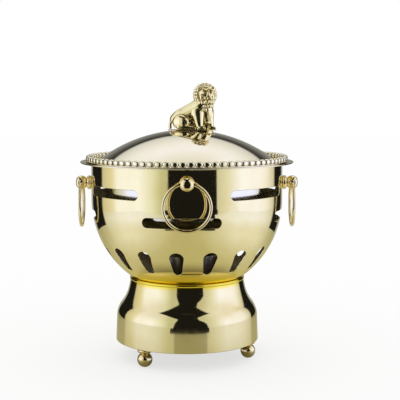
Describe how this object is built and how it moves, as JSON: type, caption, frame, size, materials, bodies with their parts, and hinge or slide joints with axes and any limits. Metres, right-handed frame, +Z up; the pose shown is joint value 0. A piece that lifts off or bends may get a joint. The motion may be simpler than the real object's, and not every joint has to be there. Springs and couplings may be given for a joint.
{
  "type": "lidded tabletop stove pot",
  "caption": "Polished gold tabletop spirit stove with a pierced bowl on an ogee base, ball feet, hanging ring pulls, lift-out steel pot and domed lid with a lion finial.",
  "frame": {"origin": "on the table under the middle of the object's box, below the bowl's axis", "axes": "+Z up along the bowl's axis, +X to the right of the front, front towards -Y"},
  "size_m": [0.1952, 0.1952, 0.2397],
  "materials": {
    "gold_shell": "mirror polished pale gold plating on steel",
    "gold_lid": "mirror polished steel with a faint gold tint",
    "gold_fittings": "polished deep gold plating on turned fittings",
    "gold_finial": "polished gold plating on a casting",
    "pot_steel": "bright stainless steel",
    "burner_steel": "plain pressed stainless steel",
    "fastener_steel": "plain zinc plated steel"
  },
  "bodies": {
    "stove": {"base_skirt": "gold_shell", "stove_bowl": "gold_shell", "foot_left": "gold_fittings", "foot_right": "gold_fittings", "foot_back": "gold_fittings", "knob_front": "gold_fittings", "knob_right": "gold_fittings", "knob_back": "gold_fittings", "knob_left": "gold_fittings", "collar_front": "gold_fittings", "collar_right": "gold_fittings", "collar_back": "gold_fittings", "collar_left": "gold_fittings", "base_ring": "fastener_steel", "seat_plate": "fastener_steel", "foot_nuts": "fastener_steel", "centre_bolt": "fastener_steel", "centre_washer": "fastener_steel", "centre_nut": "fastener_steel", "knob_nuts": "fastener_steel"},
    "pot": {"inner_pot": "pot_steel"},
    "lid": {"lid_dome": "gold_lid", "lid_locating_ring": "fastener_steel", "bead_border": "gold_lid", "lion_plinth": "gold_finial", "lion_finial": "gold_finial", "finial_screw": "fastener_steel", "finial_washer": "fastener_steel"},
    "burner": {"burner_cup": "burner_steel", "burner_cover": "burner_steel"},
    "ring_front": {"ring_front": "gold_fittings"},
    "ring_right": {"ring_right": "gold_fittings"},
    "ring_back": {"ring_back": "gold_fittings"},
    "ring_left": {"ring_left": "gold_fittings"}
  },
  "joints": [
    {"name": "pot_lift", "type": "slide", "parent": "stove", "child": "pot", "axis": [0, 0, 1], "range_m": [0, 0.09]},
    {"name": "lid_lift", "type": "slide", "parent": "pot", "child": "lid", "axis": [0, 0, 1], "range_m": [0, 0.06]},
    {"name": "burner_lift", "type": "slide", "parent": "stove", "child": "burner", "axis": [0, 0, 1], "range_m": [0, 0.015]},
    {"name": "ring_front_swing", "type": "hinge", "parent": "stove", "child": "ring_front", "pos_m": [0, -0.0918, 0.15998], "axis": [-1, 0, 0], "range_deg": [-12, 155]},
    {"name": "ring_right_swing", "type": "hinge", "parent": "stove", "child": "ring_right", "pos_m": [0.0918, 0, 0.15348], "axis": [0, -1, 0], "range_deg": [-12, 155]},
    {"name": "ring_back_swing", "type": "hinge", "parent": "stove", "child": "ring_back", "pos_m": [0, 0.0918, 0.15998], "axis": [1, 0, 0], "range_deg": [-12, 155]},
    {"name": "ring_left_swing", "type": "hinge", "parent": "stove", "child": "ring_left", "pos_m": [-0.0918, 0, 0.15348], "axis": [0, 1, 0], "range_deg": [-12, 155]}
  ]
}
